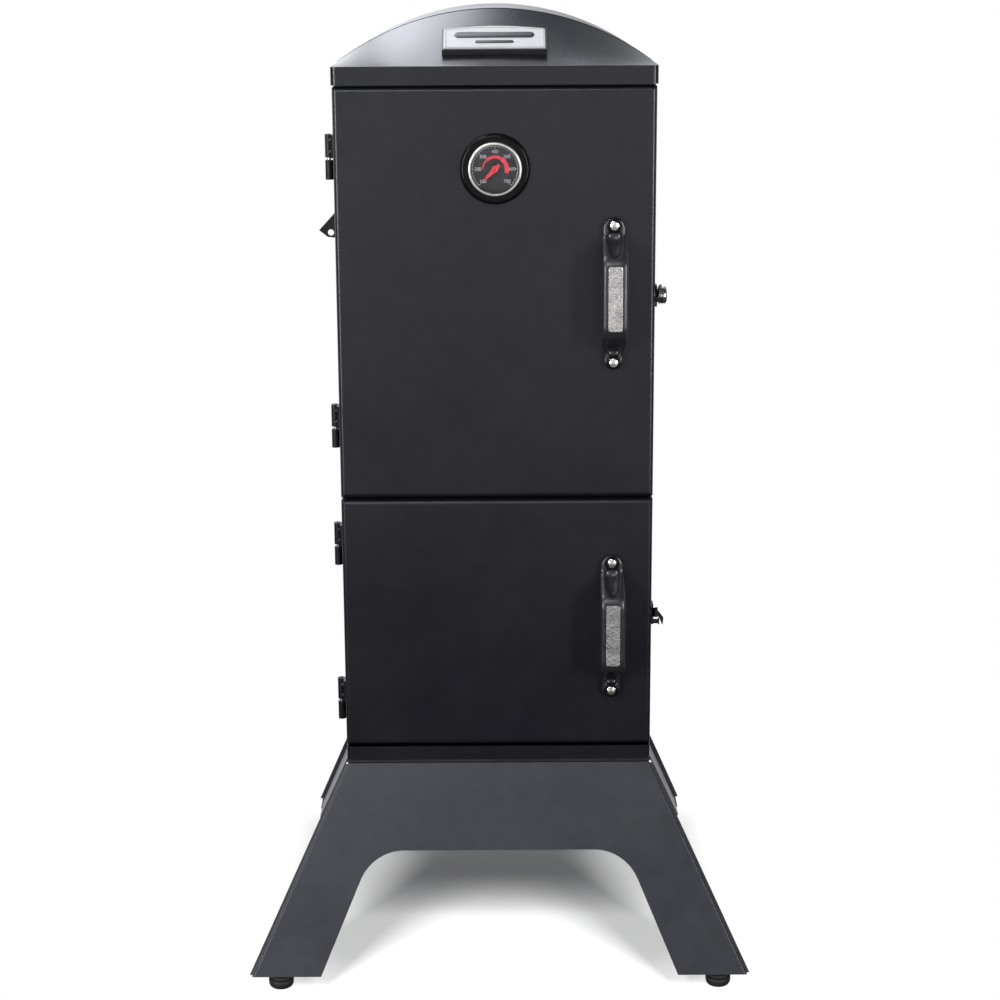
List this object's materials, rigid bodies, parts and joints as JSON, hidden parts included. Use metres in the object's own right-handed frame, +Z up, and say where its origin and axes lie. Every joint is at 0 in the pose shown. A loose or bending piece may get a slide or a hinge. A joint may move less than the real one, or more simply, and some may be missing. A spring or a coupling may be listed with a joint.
{
  "type": "vertical water smoker",
  "caption": "Upright cabinet smoker with two hinged doors, an arched roof, removable grids and pans, a door thermometer and a flared arched base on rubber feet.",
  "frame": {"origin": "on the floor under the middle of the whole object's box", "axes": "+Z up, the doors face -Y, +X is towards the handles"},
  "size_m": [0.658, 0.626, 1.258],
  "materials": {
    "body_paint": "satin black hammertone powder coat",
    "leg_paint": "satin charcoal powder coat",
    "liner_steel": "matte heat-proof enamel",
    "pan_enamel": "gloss porcelain enamel",
    "chrome": "polished",
    "steel": "brushed",
    "cast_metal": "satin cast with a fine pebble grain",
    "handle_black": "satin cast, black",
    "hardware_black": "black oxide",
    "gasket_rope": "woven glass-fibre rope",
    "foot_rubber": "moulded",
    "dial_face": "printed dial",
    "needle_red": "painted pointer",
    "gauge_glass": "clear"
  },
  "bodies": {
    "cabinet": {"cabinet_shell": "body_paint", "inner_liner": "liner_steel", "front_frame": "body_paint", "roof_cap": "body_paint", "base_pan": "body_paint", "badge_backing": "hardware_black", "badge_face": "cast_metal", "vent_collars": "liner_steel", "damper_rivets": "hardware_black", "front_leg_panel": "leg_paint", "rear_brace": "leg_paint", "runner_frame_left": "steel", "runner_frame_right": "steel", "side_leg_left": "leg_paint", "side_leg_right": "leg_paint", "foot_front_left": "foot_rubber", "foot_front_right": "foot_rubber", "foot_rear_left": "foot_rubber", "foot_rear_right": "foot_rubber", "upper_frame_hinge_leaves": "hardware_black", "lower_frame_hinge_leaves": "hardware_black", "hinge_pins": "steel", "upper_latch_base": "hardware_black", "lower_latch_base": "hardware_black"},
    "upper_door": {"upper_door_skin": "body_paint", "upper_door_liner": "liner_steel", "upper_door_gasket": "gasket_rope", "upper_door_handle": "handle_black", "upper_handle_insert": "cast_metal", "upper_handle_bolts": "chrome", "upper_door_hinge_leaves": "hardware_black", "upper_latch_stud": "hardware_black", "thermometer_bezel": "hardware_black", "thermometer_ring": "chrome", "thermometer_dial": "dial_face", "thermometer_lens": "gauge_glass", "thermometer_stem": "chrome"},
    "lower_door": {"lower_door_skin": "body_paint", "lower_door_liner": "liner_steel", "lower_door_gasket": "gasket_rope", "lower_door_handle": "handle_black", "lower_handle_insert": "cast_metal", "lower_handle_bolts": "chrome", "lower_door_hinge_leaves": "hardware_black", "lower_latch_stud": "hardware_black"},
    "needle": {"thermometer_needle": "needle_red"},
    "upper_latch": {"upper_latch_hook": "chrome"},
    "lower_latch": {"lower_latch_hook": "hardware_black"},
    "exhaust_vent": {"exhaust_damper": "hardware_black"},
    "intake_vent": {"intake_damper": "hardware_black"},
    "grid_1": {"cooking_grid_1": "steel"},
    "grid_2": {"cooking_grid_2": "steel"},
    "grid_3": {"cooking_grid_3": "steel"},
    "grid_4": {"cooking_grid_4": "steel"},
    "water": {"water_pan": "pan_enamel"},
    "basket": {"charcoal_basket": "steel"},
    "ash": {"ash_pan": "pan_enamel"}
  },
  "joints": [
    {"name": "upper_door_hinge", "type": "hinge", "parent": "cabinet", "child": "upper_door", "pos_m": [-0.2095, -0.164, 0.902], "axis": [0, 0, -1], "range_deg": [0, 170]},
    {"name": "lower_door_hinge", "type": "hinge", "parent": "cabinet", "child": "lower_door", "pos_m": [-0.2095, -0.164, 0.467], "axis": [0, 0, -1], "range_deg": [0, 170]},
    {"name": "needle_pivot", "type": "hinge", "parent": "upper_door", "child": "needle", "pos_m": [0, -0.192, 1.0634], "axis": [0, 1, 0], "range_deg": [0, 270]},
    {"name": "upper_latch_pivot", "type": "hinge", "parent": "cabinet", "child": "upper_latch", "pos_m": [0.2025, -0.137, 0.895], "axis": [1, 0, 0], "range_deg": [0, 18]},
    {"name": "lower_latch_pivot", "type": "hinge", "parent": "cabinet", "child": "lower_latch", "pos_m": [0.2025, -0.137, 0.466], "axis": [1, 0, 0], "range_deg": [0, 18]},
    {"name": "exhaust_damper_pivot", "type": "hinge", "parent": "cabinet", "child": "exhaust_vent", "pos_m": [-0.2025, -0.085, 0.985], "axis": [1, 0, 0], "range_deg": [0, 45]},
    {"name": "intake_damper_pivot", "type": "hinge", "parent": "cabinet", "child": "intake_vent", "pos_m": [0, 0.19, 0.4], "axis": [0, 1, 0], "range_deg": [0, 45]},
    {"name": "grid_1_slide", "type": "slide", "parent": "cabinet", "child": "grid_1", "axis": [0, -1, 0], "range_m": [0, 0.015]},
    {"name": "grid_2_slide", "type": "slide", "parent": "cabinet", "child": "grid_2", "axis": [0, -1, 0], "range_m": [0, 0.015]},
    {"name": "grid_3_slide", "type": "slide", "parent": "cabinet", "child": "grid_3", "axis": [0, -1, 0], "range_m": [0, 0.015]},
    {"name": "grid_4_slide", "type": "slide", "parent": "cabinet", "child": "grid_4", "axis": [0, -1, 0], "range_m": [0, 0.015]},
    {"name": "water_pan_slide", "type": "slide", "parent": "cabinet", "child": "water", "axis": [0, -1, 0], "range_m": [0, 0.018]},
    {"name": "charcoal_basket_slide", "type": "slide", "parent": "cabinet", "child": "basket", "axis": [0, -1, 0], "range_m": [0, 0.018]},
    {"name": "ash_pan_slide", "type": "slide", "parent": "cabinet", "child": "ash", "axis": [0, -1, 0], "range_m": [0, 0.018]}
  ]
}
